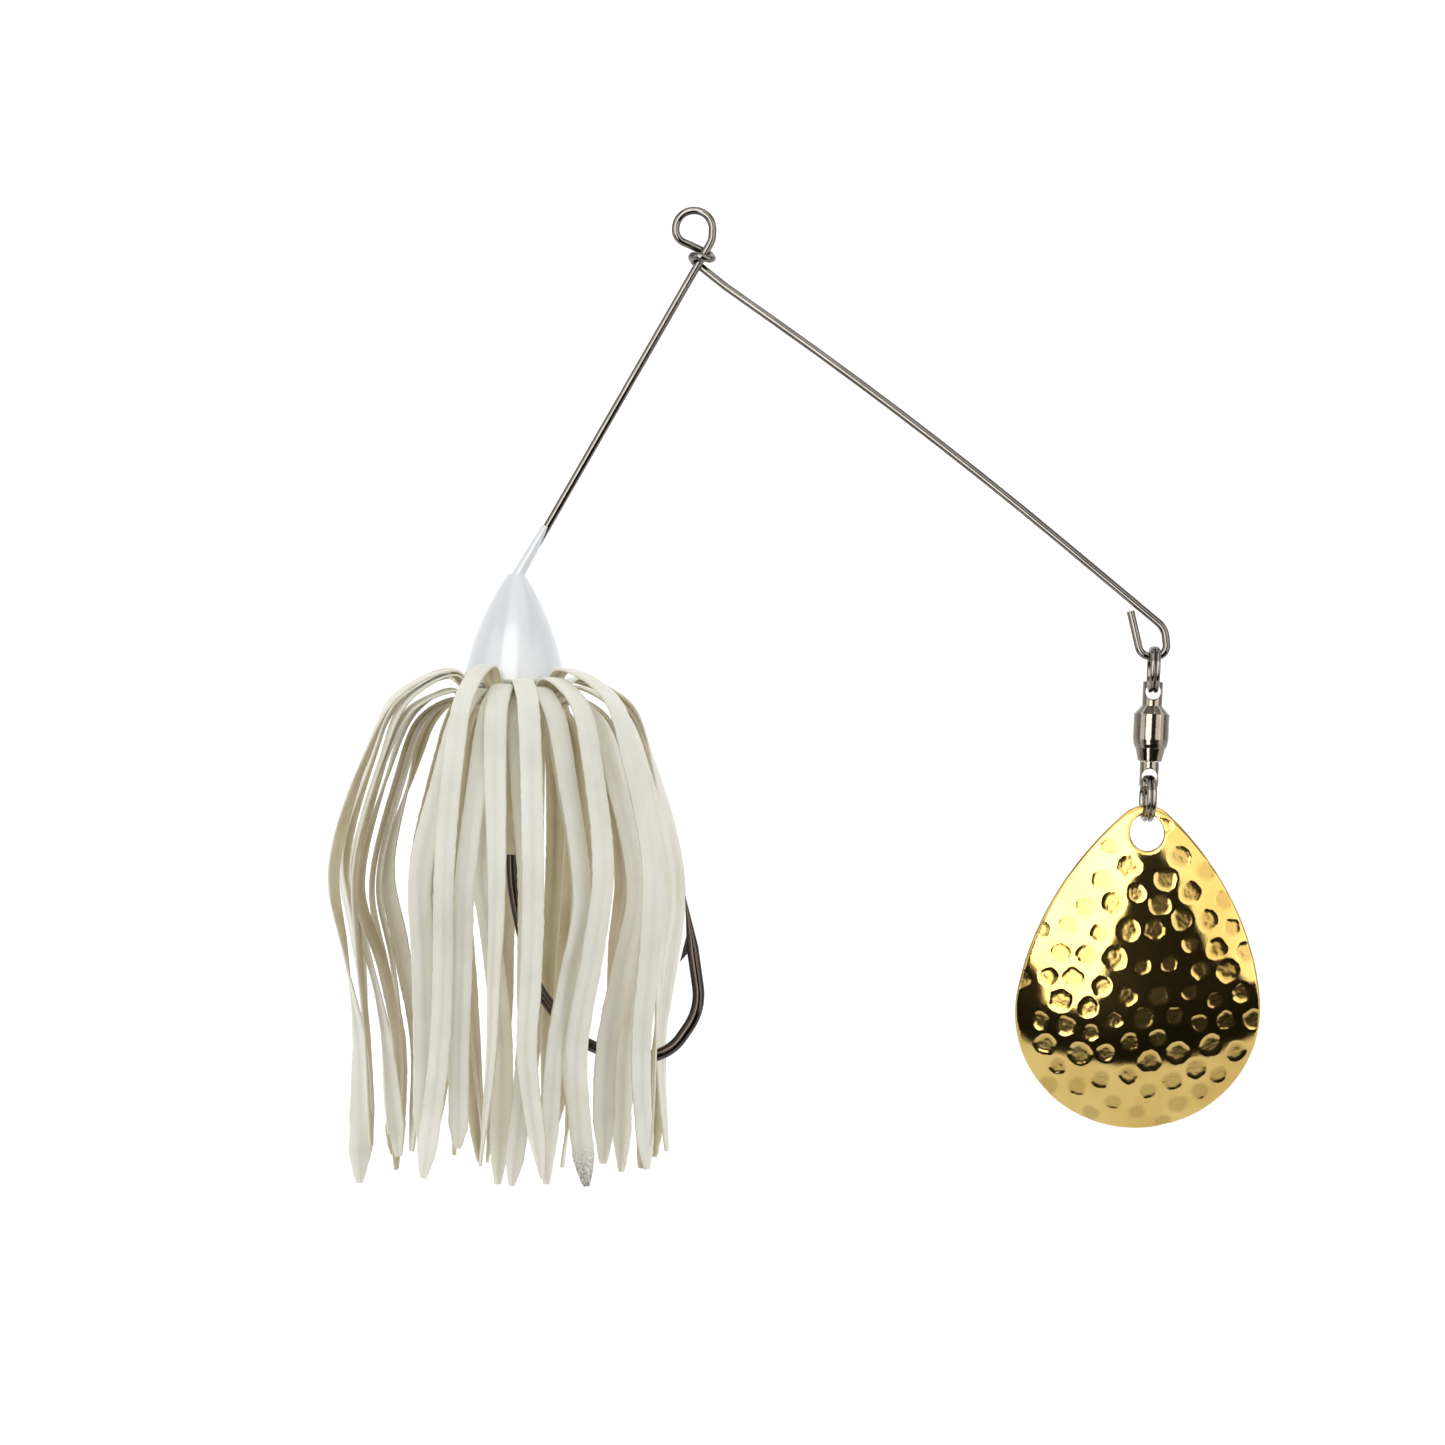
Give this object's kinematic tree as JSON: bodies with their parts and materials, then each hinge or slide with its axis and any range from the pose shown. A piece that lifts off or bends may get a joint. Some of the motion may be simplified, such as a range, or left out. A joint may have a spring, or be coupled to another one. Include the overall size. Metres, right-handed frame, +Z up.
{
  "type": "spinnerbait",
  "caption": "V-wire fishing lure: cast head with hook and rubber strand skirt on one arm, hammered spinner blade on split rings and a ball-bearing swivel on the other.",
  "frame": {"origin": "centre of the line-tie loop at the top of the wire frame", "axes": "+Z up along the pull of the line, +X from the head arm towards the blade arm, +Y away from the blade's domed face"},
  "size_m": [0.1464, 0.0558, 0.154],
  "materials": {
    "stainless_wire": "bright drawn stainless spring wire",
    "head_paint": "white powder paint baked over cast lead",
    "black_nickel": "black nickel plate over forged steel",
    "skirt_rubber": "plain ivory latex rubber sheet, matt",
    "ring_steel": "polished stainless steel",
    "swivel_nickel": "nickel plate over turned brass",
    "gold_plate": "bright gold plate over hammered brass"
  },
  "bodies": {
    "frame": {"wire_frame": "stainless_wire", "head_casting": "head_paint", "hook": "black_nickel", "skirt_wrap_1": "skirt_rubber", "skirt_wrap_2": "skirt_rubber", "skirt_wrap_3": "skirt_rubber", "skirt_wrap_4": "skirt_rubber", "skirt_wrap_5": "skirt_rubber"},
    "upper_ring": {"upper_split_ring": "ring_steel"},
    "swivel_body": {"swivel_barrel": "swivel_nickel", "swivel_end_cap": "swivel_nickel", "swivel_balls": "ring_steel"},
    "spindle": {"swivel_spindle": "swivel_nickel", "spindle_collar": "swivel_nickel"},
    "lower_ring": {"lower_split_ring": "ring_steel"},
    "blade": {"blade": "gold_plate"}
  },
  "joints": [
    {"name": "upper_ring_swing", "type": "hinge", "parent": "frame", "child": "upper_ring", "pos_m": [0.0745, 0, -0.0634], "axis": [1, 0, 0], "range_deg": [-60, 60]},
    {"name": "swivel_swing", "type": "hinge", "parent": "upper_ring", "child": "swivel_body", "pos_m": [0.0745, 0, -0.06875], "axis": [0, 1, 0], "range_deg": [-45, 45]},
    {"name": "spindle_spin", "type": "hinge", "parent": "swivel_body", "child": "spindle", "pos_m": [0.0745, 0, -0.08], "axis": [0, 0, 1], "continuous": true},
    {"name": "lower_ring_swing", "type": "hinge", "parent": "spindle", "child": "lower_ring", "pos_m": [0.0745, 0, -0.08224], "axis": [0, 1, 0], "range_deg": [-45, 45]},
    {"name": "blade_flap", "type": "hinge", "parent": "lower_ring", "child": "blade", "pos_m": [0.0745, 0, -0.08829], "axis": [1, 0, 0], "range_deg": [-20, 40]}
  ]
}
